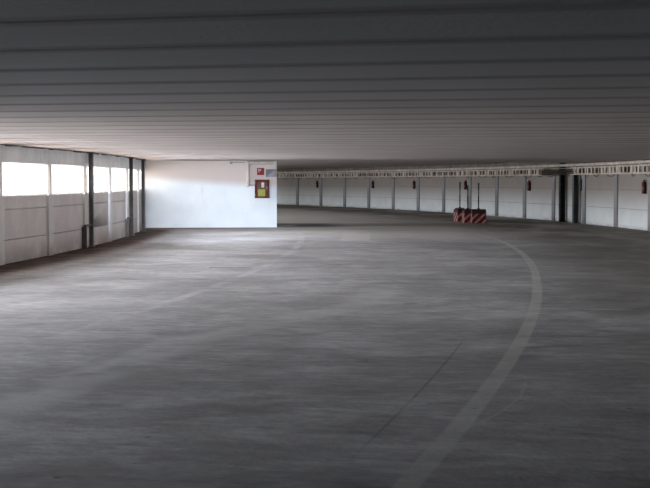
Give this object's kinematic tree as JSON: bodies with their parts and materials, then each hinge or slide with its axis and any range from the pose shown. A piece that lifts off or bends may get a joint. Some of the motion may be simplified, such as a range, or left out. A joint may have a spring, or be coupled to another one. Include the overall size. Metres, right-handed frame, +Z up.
{
  "type": "multi storey car park, curved run, 1:10 scale model",
  "caption": "Curved multi storey car park with precast walls, plank decks, window strips on the inner side and a roof deck, at 1:10 scale.",
  "frame": {"origin": "middle of the footprint at ground level", "axes": "+Z up, +Y from the ring's centre to the outer wall at the middle grid line, X along the building"},
  "size_m": [10.8474, 2.7053, 0.732],
  "materials": {
    "floor_concrete": "worn grey concrete",
    "footing_concrete": "rough concrete",
    "plank_concrete": "smooth precast concrete",
    "wall_grey": "precast concrete with grime",
    "wall_white": "white painted concrete",
    "post_grey": "precast concrete",
    "beam_grey": "precast concrete",
    "column_steel": "dark grey paint",
    "joint_steel": "dark blue-grey paint",
    "rusty_steel": "rusty steel",
    "white_pipe": "white paint",
    "red_metal": "red-brown paint",
    "cabinet_pane": "red frame with a pane",
    "sign_red": "plain red",
    "box_lilac": "pale grey-lilac",
    "pipe_beige": "pale beige paint",
    "galvanised": "galvanised",
    "extinguisher_red": "dark red gloss",
    "black_parts": "black",
    "striped_block": "red and white stripes"
  },
  "bodies": {
    "root": {"ground_slab": "floor_concrete", "inner_footing": "footing_concrete", "outer_footing": "footing_concrete", "lower_inner_posts": "wall_grey", "lower_parapet_planks": "wall_grey", "lower_inner_beams": "beam_grey", "lower_outer_posts": "post_grey", "lower_outer_panels": "wall_white", "lower_outer_beams": "beam_grey", "lower_columns": "column_steel", "middle_deck_planks": "plank_concrete", "middle_deck_topping": "floor_concrete", "upper_inner_posts": "wall_grey", "upper_parapet_planks": "wall_grey", "upper_inner_beams": "beam_grey", "upper_outer_posts": "post_grey", "upper_outer_panels": "wall_white", "upper_outer_beams": "beam_grey", "upper_columns": "column_steel", "column_ties": "rusty_steel", "joint_columns": "joint_steel", "roof_deck_planks": "plank_concrete", "roof_deck_topping": "floor_concrete", "roof_inner_posts": "wall_grey", "roof_inner_parapet": "wall_grey", "roof_outer_posts": "wall_grey", "roof_outer_parapet": "wall_grey", "near_end_wall": "wall_grey", "far_end_wall": "wall_grey", "fin_wall": "wall_white", "riser_pipe": "white_pipe", "hose_cabinet": "red_metal", "cabinet_front": "cabinet_pane", "fire_sign": "sign_red", "signal_box": "box_lilac", "water_pipe": "pipe_beige", "pipe_hangers": "galvanised", "cable_ladder": "galvanised", "extinguishers": "extinguisher_red", "extinguisher_valves": "black_parts", "barrier_blocks": "striped_block", "barrier_poles": "black_parts"}
  },
  "joints": []
}
